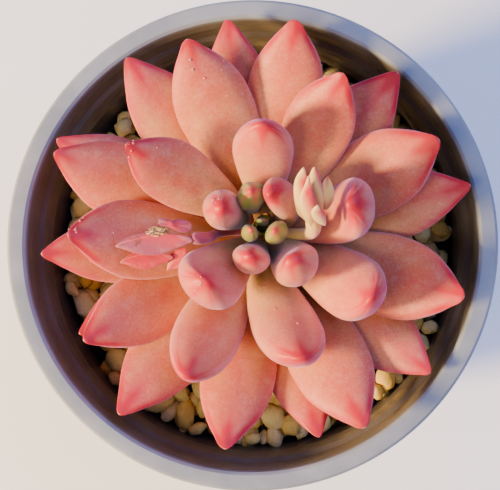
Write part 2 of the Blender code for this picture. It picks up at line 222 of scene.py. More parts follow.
# Leaf skin: a thin waxy cuticle over wet, pale flesh. Light goes a millimetre or two into it, so
# shaded sides glow pink, and the powdery wax bloom makes it satin instead of glossy.
def leafSkin(name, look):
    settings = {
        "IOR": 1.44,
        "Subsurface Weight": look["glow"],
        "Subsurface Radius": (1.0, 0.42, 0.28),
        "Subsurface Scale": 1.6 * mm,
        "Sheen Weight": look.get("sheen", 0.48),
        "Sheen Roughness": 0.5,
        "Sheen Tint": colour(skinColours["waxSheen"]),
    }
    material, tree, shader = newMaterial(name, settings)
    place = objectPlace(tree)
    along = ownValue(tree, "along")
    across = ownValue(tree, "across")
    tone = ownValue(tree, "tone")
    margin = sums(tree, "POWER", sums(tree, "ABSOLUTE", across, 0), 5)
    patches = grain(tree, place, 6, 3)
    blush = sums(tree, "ADD", along, spread(tree, patches, 0.3, 0.7, -0.03, 0.03))
    blush = sums(tree, "ADD", blush, sums(tree, "MULTIPLY", margin, look["margin"]))
    blush = sums(tree, "ADD", blush, sums(tree, "MULTIPLY", tone, 0.03))
    ramp = addNode(tree, "ShaderNodeValToRGB", {"stops": look["stops"]}, {"Fac": blush})
    base = ramp.outputs["Color"]
    plain = spread(tree, along, *plainTip, 1, 0)  # the tips are clear red
    offMiddle = sums(tree, "ABSOLUTE", across, 0)
    core = sums(tree, "MULTIPLY", spread(tree, offMiddle, 0.2, 0.85, 1, 0), plain)
    clouds = spread(tree, grain(tree, place, 4.5, 3), 0.42, 0.66, 0, look["core"])
    core = sums(tree, "MULTIPLY", core, clouds)
    base = blendColours(tree, core, base, skinColours["core"])
    flecks = spread(tree, grain(tree, place, 0.42, 2, 0.6), 0.50, 0.66, 0, look["flecks"])
    base = blendColours(tree, sums(tree, "MULTIPLY", flecks, plain), base, look["fleckColour"])
    pores = spread(tree, grain(tree, place, 0.55, 1), 0.32, 0.44, look["pores"], 0)
    base = blendColours(tree, sums(tree, "MULTIPLY", pores, plain), base, skinColours["pores"])
    bloom = spread(tree, grain(tree, place, 2.6, 5, 0.7), 0.50, 0.74, 0, 0.22)
    base = blendColours(tree, sums(tree, "MULTIPLY", bloom, plain), base, skinColours["bloom"])
    edgeLine = spread(tree, offMiddle, 0.93, 0.99, 0, 0.25)
    base = blendColours(tree, edgeLine, base, skinColours["edgeLine"])
    withered = spread(tree, grain(tree, place, 2.4, 3), 0.60, 0.68, 0, look.get("withered", 0))
    base = blendColours(tree, withered, base, skinColours["withered"])
    dryTip = spread(tree, along, 0.990, 1.0, 0, look.get("dryTip", 0))
    base = blendColours(tree, dryTip, base, skinColours["dryTip"])
    tree.links.new(base, shader.inputs["Base Color"])
    smoothest, roughest = look["rough"] - 0.05, look["rough"] + 0.08
    rough = spread(tree, grain(tree, place, 2.5, 3), 0.3, 0.7, smoothest, roughest)
    tree.links.new(rough, shader.inputs["Roughness"])
    addBump(tree, shader, grain(tree, place, 0.45, 2), 0.03, 0.5)
    addBump(tree, shader, patches, 0.5, 0.35)
    return material


leafLooks = {
    "young": {
        "glow": 0.18, "margin": 0.0, "flecks": 0.10, "core": 0.1, "pores": 0.04, "rough": 0.44,
        "sheen": 0.22, "fleckColour": "#B0603C",
        "stops": [
            (0.30, "#4A6008"), (0.64, "#74901C"), (0.80, "#9C9A3C"),
            (0.88, "#C85A38"), (0.95, "#C42028"), (1.0, "#A81020"),
        ],
    },
    "heart": {
        "glow": 0.20, "margin": 0.0, "flecks": 0.14, "core": 0.3, "pores": 0.06, "rough": 0.42,
        "sheen": 0.34,
        "fleckColour": "#C8503C",
        "stops": [
            (0.22, "#6C741C"), (0.42, "#B0924A"), (0.60, "#E09A68"),
            (0.83, "#DE7454"), (0.91, "#D41C28"), (1.0, "#BC081C"),
        ],
    },
    "inner": {
        "glow": 0.18, "margin": 0.02, "flecks": 0.28, "core": 0.55, "pores": 0.12, "rough": 0.46,
        "fleckColour": "#D04A2C",
        "stops": [
            (0.12, "#9C8430"), (0.32, "#DEA060"), (0.58, "#E68C5C"),
            (0.85, "#DE684C"), (0.925, "#D4101E"), (1.0, "#C00418"),
        ],
    },
    "middle": {
        "glow": 0.14, "margin": 0.03, "flecks": 0.36, "core": 0.65, "pores": 0.10, "rough": 0.48,
        "fleckColour": "#C84028", "dryTip": 0.8,
        "stops": [
            (0.15, "#A87A30"), (0.38, "#DA9A5C"), (0.62, "#DA7A4A"),
            (0.85, "#D45A44"), (0.925, "#CC0A1E"), (1.0, "#B8041C"),
        ],
    },
    "outer": {
        "glow": 0.16, "margin": 0.04, "flecks": 0.36, "core": 0.5, "pores": 0.09, "rough": 0.50,
        "fleckColour": "#C03C30", "dryTip": 0.8,
        "stops": [
            (0.25, "#BC8C46"), (0.50, "#D49A60"), (0.72, "#D27A54"),
            (0.86, "#CE504A"), (0.93, "#C60E28"), (1.0, "#B80620"),
        ],
    },
}


# Moulded polypropylene: satin grey, with fine mould texture and fine dust specks on rim and wall. The
# rim's top is painted lighter and bluer, a painted reflection of the sky; the wall below it is painted
# darker and browner, painted shade with warm light bounced from the soil and leaves.
def pottedPlastic():
    material, tree, shader = newMaterial("moulded polypropylene", {"IOR": 1.49})
    place = objectPlace(tree)
    height = addNode(tree, "ShaderNodeSeparateXYZ", links={0: place}).outputs["Z"]
    top = potHigh.z
    mottle = grain(tree, place, 9, 4)
    # painted shade: the wall's darker, browner grey stands in for shade and warm bounced light; the rim's
    # lighter, bluer grey is a painted sky reflection
    wall = blendColours(tree, spread(tree, mottle, 0.3, 0.7), "#5A5148", "#686058")
    rim = blendColours(tree, spread(tree, grain(tree, place, 14, 3), 0.4, 0.6), "#848C96", "#949CA4")
    # painted light and shade: the top 2 mm of the pot take the rim's lighter grey, and all below it the
    # wall's darker grey
    paintedSkyLitRim = spread(tree, height, top - 2.2 * mm, top - 0.6 * mm)
    base = blendColours(tree, paintedSkyLitRim, wall, rim)
    dust = spread(tree, grain(tree, place, 0.9, 4, 0.7), 0.55, 0.75, 0, 0.16)
    base = blendColours(tree, dust, base, "#9A9C9C")
    tree.links.new(base, shader.inputs["Base Color"])
    rough = spread(tree, grain(tree, place, 3.5, 4), 0.35, 0.7, 0.30, 0.48)
    tree.links.new(rough, shader.inputs["Roughness"])
    addBump(tree, shader, grain(tree, place, 0.3, 2), 0.012, 0.6)
    addBump(tree, shader, grain(tree, place, 5, 2), 0.10, 0.4)
    return material


# Pumice grit: light volcanic stone full of bubbles, so it is matt and pitted, cream to ochre
def pumiceStone():
    material, tree, shader = newMaterial("pumice grit", {"IOR": 1.5, "Roughness": 0.92})
    place = objectPlace(tree)
    tone = ownValue(tree, "tone")
    stops = [
        (0.0, "#DCA83C"), (0.25, "#EEC85C"), (0.55, "#F8DE80"), (0.85, "#FBE9A6"), (1.0, "#C89038"),
    ]
    base = addNode(tree, "ShaderNodeValToRGB", {"stops": stops}, {"Fac": tone}).outputs["Color"]
    stain = spread(tree, grain(tree, place, 2.4, 3), 0.45, 0.75, 0, 0.28)
    base = blendColours(tree, stain, base, "#C8923C")
    pits = spread(tree, grain(tree, place, 0.55, 3, 0.7), 0.30, 0.46, 0.30, 0)
    base = blendColours(tree, pits, base, "#8B6A36")
    tree.links.new(base, shader.inputs["Base Color"])
    addBump(tree, shader, grain(tree, place, 0.5, 3, 0.7), 0.16, 0.9)
    addBump(tree, shader, grain(tree, place, 1.8, 2), 0.5, 0.5)
    return material


# Potting soil: damp peat crumbs and black sand, nearly black with a few brown fibres
def pottingSoil():
    material, tree, shader = newMaterial("potting soil", {"IOR": 1.4, "Roughness": 0.85})
    place = objectPlace(tree)
    crumbs = grain(tree, place, 1.1, 5, 0.7)
    base = blendColours(tree, spread(tree, crumbs, 0.35, 0.7), "#120C09", "#33241A")
    fibres = spread(tree, grain(tree, place, 0.4, 2), 0.66, 0.74, 0, 0.6)
    base = blendColours(tree, fibres, base, "#6B4D30")
    tree.links.new(base, shader.inputs["Base Color"])
    addBump(tree, shader, crumbs, 0.6, 1.0)
    return material


# Stem bark: corky, grey-brown, with the paler scars of shed leaves
def stemBark():
    material, tree, shader = newMaterial("stem bark", {"IOR": 1.45, "Roughness": 0.8})
    place = objectPlace(tree)
    cork = grain(tree, place, 1.2, 4, 0.6)
    base = blendColours(tree, spread(tree, cork, 0.35, 0.7), "#6E5238", "#A98A62")
    scars = spread(tree, grain(tree, place, 3.0, 1), 0.58, 0.66, 0, 0.7)
    base = blendColours(tree, scars, base, "#C7B27F")
    height = addNode(tree, "ShaderNodeSeparateXYZ", links={0: place}).outputs["Z"]
    growing = spread(tree, height, gravelHigh.z + 12 * mm, gravelHigh.z + 20 * mm)
    base = blendColours(tree, growing, base, "#4A4E16")
    tree.links.new(base, shader.inputs["Base Color"])
    addBump(tree, shader, cork, 0.4, 0.8)
    return material


# Flesh of the flower stalks and bud scales: like leaf skin, but paler and thinner
flowerLooks = {
    "new": {
        "glow": 0.26, "margin": 0.0, "flecks": 0.05, "core": 0.0, "pores": 0.04, "rough": 0.40,
        "fleckColour": "#E3A184",
        "stops": [
            (0.10, "#B89C40"), (0.35, "#F0CA68"), (0.68, "#F8D078"),
            (0.82, "#EC8A60"), (0.91, "#D8382C"), (1.0, "#C01C2C"),
        ],
    },
    "old": {
        "glow": 0.16, "margin": 0.06, "flecks": 0.12, "core": 0.0, "pores": 0.0, "rough": 0.46,
        "fleckColour": "#A04048", "withered": 0.75,
        "stops": [
            (0.10, "#B0504C"), (0.40, "#A4445A"), (0.62, "#983C58"),
            (0.80, "#AC4458"), (0.92, "#CC3844"), (1.0, "#C82C3C"),
        ],
    },
    "torn": {
        "glow": 0.20, "margin": 0.0, "flecks": 0.10, "core": 0.0, "pores": 0.0, "rough": 0.42,
        "fleckColour": "#8A2830", "withered": 0.3,
        "stops": [
            (0.10, "#B83C40"), (0.45, "#C4262E"), (0.80, "#CC1A26"), (1.0, "#D02834"),
        ],
    },
}


# Leaves


fleshRules = {
    "rootDepth": 12,  # millimetres below the crown, about where every piece grows from
    "marginFrom": 0.97,  # share of the half width where a leaf's margin begins
    "keelHigh": 0.7,  # the keel is this high on the upper side
    "keelWide": 0.1,  # and this near the middle
    "marginGain": 1.3,  # the margin is at its sharpest before the tip
    "lumpSize": 6,  # millimetres
}


def copyNode(node, name):
    piece = bpy.data.objects.new(name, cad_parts[node].data.copy())
    bpy.context.scene.collection.objects.link(piece)
    makeActive(piece)
    bpy.ops.mesh.customdata_custom_splitnormals_clear()
    bpy.ops.object.mode_set(mode="EDIT")
    bpy.ops.mesh.select_all(action="SELECT")
    bpy.ops.mesh.remove_doubles(threshold=0.01 * mm)
    bpy.ops.mesh.tris_convert_to_quads(face_threshold=math.radians(60), shape_threshold=math.radians(80))
    bpy.ops.object.mode_set(mode="OBJECT")
    return piece


def ringsFromTip(mesh):
    # the fleshy pieces are rings of points between two poles; the tip is the pole furthest from
    # the stem
    bm = bmesh.new()
    bm.from_mesh(mesh)
    poles = sorted(bm.verts, key=lambda point: len(point.link_edges))[-2:]
    root = crown - up * fleshRules["rootDepth"] * mm
    tip = max(poles, key=lambda point: (point.co - root).length)
    rings, seen = [[tip]], {tip}
    while True:
        ring = []
        for point in rings[-1]:
            for edge in point.link_edges:
                other = edge.other_vert(point)
                if other not in seen:
                    seen.add(other)
                    ring.append(other)
        if not ring:
            break
        rings.append(ring)
    numbers = [[point.index for point in ring] for ring in reversed(rings)]
    bm.free()
    return numbers


def puffOut(piece):
    # subdivision pulls a mesh in, so its points are first moved out by as much
    cage = np.array([point.co for point in piece.data.vertices])
    modifier = piece.modifiers.new("limit", "SUBSURF")
    modifier.levels = modifier.render_levels = 1
    graph = bpy.context.evaluated_depsgraph_get()
    limit = np.array([point.co for point in piece.evaluated_get(graph).data.vertices])[: len(cage)]
    piece.modifiers.remove(modifier)
    piece.data.vertices.foreach_set("co", (2 * cage - limit).ravel())
    piece.data.update()


def setValues(mesh, name, values, domain="POINT"):
    mesh.attributes.new(name, "FLOAT", domain).data.foreach_set("value", values)


def creaseEdges(mesh, shape, along, across, upper):
    # sharper along both margins and along the keel of the upper side
    creases = np.zeros(len(mesh.edges))
    onMargin = np.abs(across) > fleshRules["marginFrom"]
    onKeel = (upper > fleshRules["keelHigh"]) & (np.abs(across) < fleshRules["keelWide"])
    for edge in mesh.edges:
        a, b = edge.vertices
        far = min(along[a], along[b])
        if onMargin[a] and onMargin[b]:
            creases[edge.index] = shape["marginCrease"] * min(1, far * fleshRules["marginGain"])
        elif onKeel[a] and onKeel[b]:
            creases[edge.index] = shape["keelCrease"] * max(0, far - shape["keelFrom"])
    setValues(mesh, "crease_edge", creases, "EDGE")


def fleshyPiece(node, shape, material, tone):
    piece = copyNode(node, node + "_flesh")
    mesh = piece.data
    points = np.array([point.co for point in mesh.vertices])
    rings = ringsFromTip(mesh)
    centres = np.array([points[ring].mean(axis=0) for ring in rings])
    steps = np.linalg.norm(np.diff(centres, axis=0), axis=1)
    reached = np.concatenate([[0], np.cumsum(steps)]) / steps.sum()
    along, across, upper = np.zeros((3, len(points)))
    lastSide, lastFace = None, None
    for k, ring in enumerate(rings):
        along[ring] = reached[k]
        if len(ring) == 1:
            continue
        heading = centres[k + 1] - centres[k - 1]
        heading /= np.linalg.norm(heading)
        offsets = points[ring] - centres[k]
        side = np.linalg.svd(offsets)[2][0]
        if lastSide is not None and side @ lastSide < 0:
            side = -side
        face = np.cross(heading, side)
        inward = np.array([crown.x, crown.y, 0]) - centres[k] * (1, 1, 0)
        wanted = inward / np.linalg.norm(inward) + (0, 0, 0.5) if lastFace is None else lastFace
        if face @ wanted < 0:
            face = -face
        lastSide, lastFace = side, face
        middle = offsets @ side
        middle = (middle.max() + middle.min()) / 2
        wide = (offsets @ side - middle) / np.ptp(offsets @ side) * 2
        high = offsets @ face
        across[ring] = wide
        upper[ring] = high / np.abs(high).max()
        # towards the tip the upper side turns from a round crown into a soft roof
        keel = shape["keel"] * np.clip((reached[k] - shape["keelFrom"]) / (1 - shape["keelFrom"]), 0, 1)
        bow = np.sqrt(np.clip(1 - wide**2, 0.02, 1))
        roof = 1 - keel * (1 - np.clip((1 - np.abs(wide)) / bow, 0, 1))
        lift = np.where(high > 0, high * (roof - 1), 0)
        points[ring] += lift[:, None] * face
        # the end draws in to a point, and some pieces are plumper than their plain solids
        draw = np.clip((reached[k] - shape["tipFrom"]) / (1 - shape["tipFrom"]), 0, 1)
        if draw == 0:
            shoulder = np.ptp(points[ring] @ side)
        taper = min(1, shoulder * (1 - draw) ** shape["tipPower"] / np.ptp(points[ring] @ side))
        fuller = 1 + (shape.get("fuller", 1) - 1) * math.sin(math.pi * reached[k])
        points[ring] = centres[k] + (points[ring] - centres[k]) * taper * fuller
        sideways = (points[ring] - centres[k]) @ side * (shape.get("narrow", 1) - 1)
        points[ring] += sideways[:, None] * side
    mesh.vertices.foreach_set("co", points.ravel())
    for name, values in (("along", along), ("across", across), ("upper", upper)):
        setValues(mesh, name, values)
    setValues(mesh, "tone", np.full(len(points), tone))
    creaseEdges(mesh, shape, along, across, upper)
    puffOut(piece)
    subdivision = piece.modifiers.new("skin", "SUBSURF")
    subdivision.levels = subdivision.render_levels = shape["levels"]
    lumps = bpy.data.textures.get("lumps") or bpy.data.textures.new("lumps", "CLOUDS")
    lumps.noise_scale = fleshRules["lumpSize"] * mm
    dents = piece.modifiers.new("dents", "DISPLACE")
    dents.texture = lumps
    dents.strength = shape["lumps"] * mm
    applyAll(piece)
    # a piece drawn plumper may rise past the model's top, and is let down to it
    over = max(point.co.z for point in piece.data.vertices) - cadBounds[1][2]
    if over > 0:
        piece.data.transform(Matrix.Translation((0, 0, -over)))
    smooth(piece)
    setPaint(piece, material)
    return finishPiece(piece, [node])


leafShapes = {
    "heart": {
        "keel": 0.40, "keelFrom": 0.30, "marginCrease": 0.0, "keelCrease": 0.7,
        "levels": 2, "lumps": 0.2, "tipFrom": 0.80, "tipPower": 0.60, "fuller": 1.04,
    },
    "inner": {
        "keel": 0.22, "keelFrom": 0.50, "marginCrease": 0.1, "keelCrease": 0.6,
        "levels": 2, "lumps": 0.3, "tipFrom": 0.86, "tipPower": 0.68, "fuller": 1.0,
    },
    "middle": {
        "keel": 0.56, "keelFrom": 0.45, "marginCrease": 0.35, "keelCrease": 1.0,
        "levels": 2, "lumps": 0.4, "tipFrom": 0.83, "tipPower": 0.86, "fuller": 1.03,
    },
    "outer": {
        "keel": 0.56, "keelFrom": 0.45, "marginCrease": 0.45, "keelCrease": 1.0,
        "levels": 2, "lumps": 0.4, "tipFrom": 0.80, "tipPower": 0.92, "fuller": 1.04,
    },
    "petal": {
        "keel": 0.2, "keelFrom": 0.4, "marginCrease": 0.2, "keelCrease": 0.5,
        "levels": 2, "lumps": 0.1, "tipFrom": 0.75, "tipPower": 0.8, "fuller": 1.0,
    },
}
youngLeaves = ("heart_leaf_1", "heart_leaf_2", "heart_leaf_3")
leafOddities = {  # how single leaves differ from their kind
    "heart_leaf_1": {"fuller": 1.12},
    "heart_leaf_2": {"fuller": 1.15, "narrow": 0.86},
    "heart_leaf_3": {"fuller": 1.45, "narrow": 0.92},
    "heart_leaf_4": {"narrow": 0.94},
    "heart_leaf_7": {"fuller": 1.06, "narrow": 0.86},
}
budLook = {"stops": [(0.0, "#4A6008"), (0.9, "#7C962C"), (1.0, "#A87438")]}
budShape = {"fuller": 1.9, "tipFrom": 0.85, "tipPower": 0.5}


def makeLeaves():
    seed_set(11)
    young = leafSkin("young leaf skin", leafLooks["young"])
    for kind, shape in leafShapes.items():
        nodes = sorted(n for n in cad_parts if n.startswith(kind + "_leaf_"))
        if not nodes:
            continue
        skin = leafSkin(kind + " leaf skin", leafLooks[kind])
        for node in nodes:
            ownShape = {**shape, **leafOddities.get(node, {})}
            cover = young if node in youngLeaves else skin
            fleshyPiece(node, ownShape, cover, random() * 2 - 1)
        print("leaves:", kind, len(nodes))
    bud = leafSkin("crown bud skin", {**leafLooks["young"], **budLook})
    fleshyPiece("crown_bud", {**leafShapes["petal"], **budShape}, bud, 0)


# Flowers


flowerShape = {
    "freshFuller": 1.55,
    "fadedFuller": 1.30,
    "freshStalk": 0.45,  # millimetres added to the stalks all round
    "fadedStalk": 0.15,
    "floretRadius": 1.2,
    "floretThread": 0.16,
    "floretShare": 0.60,  # how far along the first sepal the dried floret lies
}


def makeFlowers(shape=flowerShape):
    fresh = leafSkin("fresh flower skin", flowerLooks["new"])
    faded = leafSkin("faded flower skin", flowerLooks["old"])
    torn = leafSkin("torn flower skin", flowerLooks["torn"])
    for node in sorted(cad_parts):
        if node.startswith("new_bud_scale"):
            plump = {**leafShapes["petal"], "fuller": shape["freshFuller"]}
            fleshyPiece(node, plump, fresh, 0)
        elif node.startswith("old_sepal"):
            plump = {**leafShapes["petal"], "fuller": shape["fadedFuller"]}
            skin = torn if node in ("old_sepal_2", "old_sepal_3") else faded
            fleshyPiece(node, plump, skin, 0)
    stalkPiece("new_flower_stalk", fresh, (0.30, 0.55), shape["freshStalk"])
    stalkPiece("old_flower_stalk", faded, (0.1, 0.5), shape["fadedStalk"])
    driedFloret(shape)
    print("flowers done")


# Dried petal: papery threads the colour of straw
def driedPetal():
    material, tree, shader = newMaterial("dried petal", {"IOR": 1.45, "Roughness": 0.8})
    place = objectPlace(tree)
    base = blendColours(tree, spread(tree, grain(tree, place, 0.6, 3), 0.35, 0.65), "#B98A5A", "#F0D9A8")
    tree.links.new(base, shader.inputs["Base Color"])
    addBump(tree, shader, grain(tree, place, 0.3, 2), 0.05, 0.6)
    return material


def driedFloret(shape):
    # a crumpled tuft of dried petals beside the first sepal
    low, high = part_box("old_sepal_1")
    across = low.x + (high.x - low.x) * shape["floretShare"]
    selectNothing()
    place = (across, high.y, (low.z + high.z) / 2)
    bpy.ops.mesh.primitive_ico_sphere_add(
        subdivisions=3, radius=shape["floretRadius"] * mm, location=place
    )
    tuft = bpy.context.object
    tuft.name = tuft.data.name = "dried_floret"
    middle = tuft.location.copy()
    applyPlace(tuft)
    bpy.ops.object.mode_set(mode="EDIT")
    bpy.ops.mesh.select_all(action="SELECT")
    bpy.ops.transform.vertex_random(offset=0.35 * mm, uniform=1, normal=0.3, seed=4)
    bpy.ops.transform.resize(value=(1.5, 0.75, 0.7), center_override=middle)
    bpy.ops.object.mode_set(mode="OBJECT")
    threads = tuft.modifiers.new("threads", "WIREFRAME")
    threads.thickness = shape["floretThread"] * mm
    threads.use_even_offset = False
    applyAll(tuft)
    smooth(tuft)
    setPaint(tuft, driedPetal())
    return finishPiece(tuft)


def stalkPiece(node, material, shades, thicker):
    piece = copyNode(node, node + "_flesh")
    low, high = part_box(node)
    heights = np.array([point.co.z for point in piece.data.vertices])
    share = (heights - low.z) / (high.z - low.z)
    setValues(piece.data, "along", shades[0] + (shades[1] - shades[0]) * share)
    for name in ("across", "upper", "tone"):
        setValues(piece.data, name, np.zeros(len(share)))
    puffOut(piece)
    subdivision = piece.modifiers.new("skin", "SUBSURF")
    subdivision.levels = subdivision.render_levels = 2
    swell = piece.modifiers.new("swell", "DISPLACE")
    swell.strength = thicker * mm
    swell.mid_level = 0
    applyAll(piece)
    smooth(piece)
    setPaint(piece, material)
    return finishPiece(piece, [node])


# Pot


potShape = {  # millimetres; the overall sizes come from the CAD node
    "sides": 160,
    "rimWidth": 3.5,
    "rimEdge": 0.5,
    "rimThickness": 1.4,
    "lipDepth": 5,
    "lipWall": 1.1,
    "baseRadius": 34,
    "wall": 1.3,
    "collarDepth": 9,
    "collarStep": 0.8,
    "floorRise": 3,
    "footWidth": 2.6,
    "footEdge": 0.8,
    "drainRadius": 3.2,
    "drainCircle": 20,
    "drainCount": 6,
    "ridgeDepths": (4.6, 12.2, 15.4),  # moulding rings inside, below the rim
    "ridgeHeight": 0.16,
    "ridgeFoot": 0.5,  # half the height of a ring where it leaves the wall
    "ridgeCrest": 0.15,  # and at its crest
    "gateRadius": 4,  # the vestige of the moulding gate under the floor
    "gateFoot": 3.4,
    "gateDrop": 0.5,
    "edgeRounding": 0.3,
}


def pullRings(outline):
    # with one ring of edges selected, extrudes it from each radius and height to the next
    for (radius, height), (nextRadius, nextHeight) in zip(outline, outline[1:]):
        bpy.ops.mesh.extrude_region_move(
            TRANSFORM_OT_translate={"value": (0, 0, (nextHeight - height) * mm)}
        )
        share = nextRadius / radius
        bpy.ops.transform.resize(value=(share, share, 1), center_override=(0, 0, 0))


def pottingPot(shape=potShape):
    top = potHigh.z / mm
    rim = potHigh.x / mm
    mouth = rim - shape["rimWidth"]
    wall = shape["wall"]
    foot = shape["baseRadius"] - wall + shape["collarStep"]

    def inner(height):
        return foot + (mouth - foot) * height / top

    def body(height):
        return inner(height) - shape["collarStep"]

    lipInside = rim - shape["lipWall"]
    underRim = top - shape["rimThickness"]
    collarFoot = top - shape["collarDepth"]
    stepFoot = collarFoot - shape["collarStep"]
    footInside = shape["baseRadius"] - shape["footWidth"]
    floorTop = shape["floorRise"] + wall
    start = (rim - shape["rimWidth"] / 2, top)
    outside = [
        start,
        (rim - shape["rimEdge"], top),
        (rim, top - shape["rimEdge"]),
        (rim, top - shape["lipDepth"]),
        (lipInside, top - shape["lipDepth"]),
        (lipInside, underRim),
        (inner(underRim) + wall, underRim),
        (inner(collarFoot) + wall, collarFoot),
        (body(stepFoot) + wall, stepFoot),
        (body(shape["footEdge"]) + wall, shape["footEdge"]),
        (body(0) + wall - shape["footEdge"], 0),
        (footInside, 0),
        (footInside, shape["floorRise"]),
        (shape["gateRadius"], shape["floorRise"]),
        (shape["gateFoot"], shape["floorRise"] - shape["gateDrop"]),
        (almostNothing, shape["floorRise"] - shape["gateDrop"]),
    ]
    underEdge = top - shape["rimEdge"]
    inside = [start, (mouth + shape["rimEdge"], top), (inner(underEdge), underEdge)]
    ridgeFoot, ridgeCrest = shape["ridgeFoot"], shape["ridgeCrest"]
    for depth in shape["ridgeDepths"]:
        if depth > shape["collarDepth"] and inside[-1][1] > stepFoot:
            inside += [(inner(collarFoot), collarFoot), (body(stepFoot), stepFoot)]
        height = top - depth
        radius = body(height) if depth > shape["collarDepth"] else inner(height)
        for rise, ridge in ((ridgeFoot, 0), (ridgeCrest, 1), (-ridgeCrest, 1), (-ridgeFoot, 0)):
            inside.append((radius - ridge * shape["ridgeHeight"], height + rise))
    floorEdge = floorTop + shape["footEdge"]
    inside += [(body(floorEdge), floorEdge), (body(floorTop) - shape["footEdge"], floorTop)]
    inside.append((almostNothing, floorTop))

    selectNothing()
    bpy.ops.mesh.primitive_circle_add(
        vertices=shape["sides"], radius=start[0] * mm, location=(0, 0, top * mm)
    )
    pot = bpy.context.object
    pot.name = pot.data.name = "pot_shell"
    applyPlace(pot)
    firstRing = len(pot.data.vertices)
    bpy.ops.object.mode_set(mode="EDIT")
    bpy.ops.mesh.select_all(action="SELECT")
    pullRings(outside)
    bpy.ops.mesh.select_all(action="DESELECT")
    bpy.ops.object.mode_set(mode="OBJECT")
    for number in range(firstRing):
        pot.data.vertices[number].select = True
    for edge in pot.data.edges:
        edge.select = all(v < firstRing for v in edge.vertices)
    bpy.ops.object.mode_set(mode="EDIT")
    pullRings(inside)
    bpy.ops.mesh.select_all(action="SELECT")
    bpy.ops.mesh.remove_doubles(threshold=0.02 * mm)
    bpy.ops.mesh.normals_make_consistent(inside=False)
    bpy.ops.object.mode_set(mode="OBJECT")

    drills = []
    for i in range(shape["drainCount"]):
        angle = math.tau * i / shape["drainCount"]
        middle = Vector((math.cos(angle), math.sin(angle), 0)) * shape["drainCircle"] * mm
        bpy.ops.mesh.primitive_cylinder_add(
            vertices=40, radius=shape["drainRadius"] * mm, depth=4 * floorTop * mm, location=middle
        )
        drills.append(bpy.context.object)
    drill = applyPlace(joinPieces(drills, "drain_drill"))
    cut = pot.modifiers.new("drains", "BOOLEAN")
    cut.object = drill
    rounding = pot.modifiers.new("rounding", "BEVEL")
    rounding.width = shape["edgeRounding"] * mm
    rounding.segments = 3
    rounding.limit_method = "ANGLE"
    rounding.angle_limit = math.radians(25)
    applyAll(pot)
    bpy.data.objects.remove(drill)
    smooth(pot, 35)
    setPaint(pot, pottedPlastic())
    print("pot", len(pot.data.polygons), "faces")
    return finishPiece(pot, ["pot"])


# Grit


gritShape = {  # millimetres
    "faceShare": 0.45,  # of each stone's faces, kept so that the whole bed stays light
    "kinds": 12,  # different stones, each copied many times
    "layers": (  # depth of the tops below the bed's top, stone radii, how many are tried
        (2.2, (1.7, 2.9), 3600),
        (0.0, (1.5, 3.0), 5600),
    ),
    "overlap": 0.74,  # centres may come this share of two radii together
    "edgeRoom": 0.72,  # share of its radius that a stone keeps from the bed's edge
    "roughness": 0.16,  # how far a unit stone's corners are moved
    "flats": 5,
    "flatDepth": (0.70, 0.88),  # how far from a unit stone's middle its flats are
    "stretch": (1.1, (0.72, 0.94), (0.62, 0.84)),  # length, then the ranges of breadth and height
    "squash": 0.8,
    "drop": 1.1,  # how far below its layer a stone may lie
    "plump": 1.12,
    "seed": 5,
}


def between(low, high):
    return low + (high - low) * random()


def wornStone(number, shape):
    # a rounded lump with a few flats, as grit wears
    selectNothing()
    bpy.ops.mesh.primitive_ico_sphere_add(subdivisions=2, radius=1, location=(0, 0, 0))
    stone = bpy.context.object
    bpy.ops.object.mode_set(mode="EDIT")
    bpy.ops.mesh.select_all(action="SELECT")
    bpy.ops.transform.vertex_random(offset=shape["roughness"], uniform=0.6, normal=0.5, seed=number)
    for _ in range(shape["flats"]):
        way = Vector((random() - 0.5, random() - 0.5, random() - 0.5)).normalized()
        bpy.ops.mesh.select_all(action="SELECT")
        bpy.ops.mesh.bisect(
            plane_co=way * between(*shape["flatDepth"]), plane_no=way, use_fill=True, clear_outer=True
        )
    bpy.ops.mesh.select_all(action="SELECT")
    bpy.ops.mesh.convex_hull()
    bpy.ops.mesh.vertices_smooth(factor=0.5, repeat=1)
    length, breadth, height = shape["stretch"]
    bpy.ops.transform.resize(value=(length, between(*breadth), between(*height)))
    bpy.ops.object.mode_set(mode="OBJECT")
    fewer = stone.modifiers.new("fewer faces", "DECIMATE")
    fewer.ratio = shape["faceShare"]
    applyAll(stone)
    # thinning can leave a gap, and a fresh hull closes the stone again
    bpy.ops.object.mode_set(mode="EDIT")
    bpy.ops.mesh.select_all(action="SELECT")
    bpy.ops.mesh.convex_hull(use_existing_faces=False)
    bpy.ops.object.mode_set(mode="OBJECT")
    smooth(stone)
    return stone


def stonePlaces(shape, radii, tries):
    # stones dropped one at a time, big ones first, each kept unless it would sink far into another
    high, low = max(radii), min(radii)
    edge = gravelHigh.x / mm
    placed = []
    for i in range(tries):
        radius = high + (low - high) * (i / tries) ** 0.8
        angle = random() * math.tau
        reach = (edge - radius * shape["edgeRoom"]) * math.sqrt(random())
        x, y = reach * math.cos(angle), reach * math.sin(angle)
        nearest = shape["overlap"]
        if all((x - a) ** 2 + (y - b) ** 2 > (nearest * (radius + c)) ** 2 for a, b, c in placed):
            placed.append((x, y, radius))
    return placed


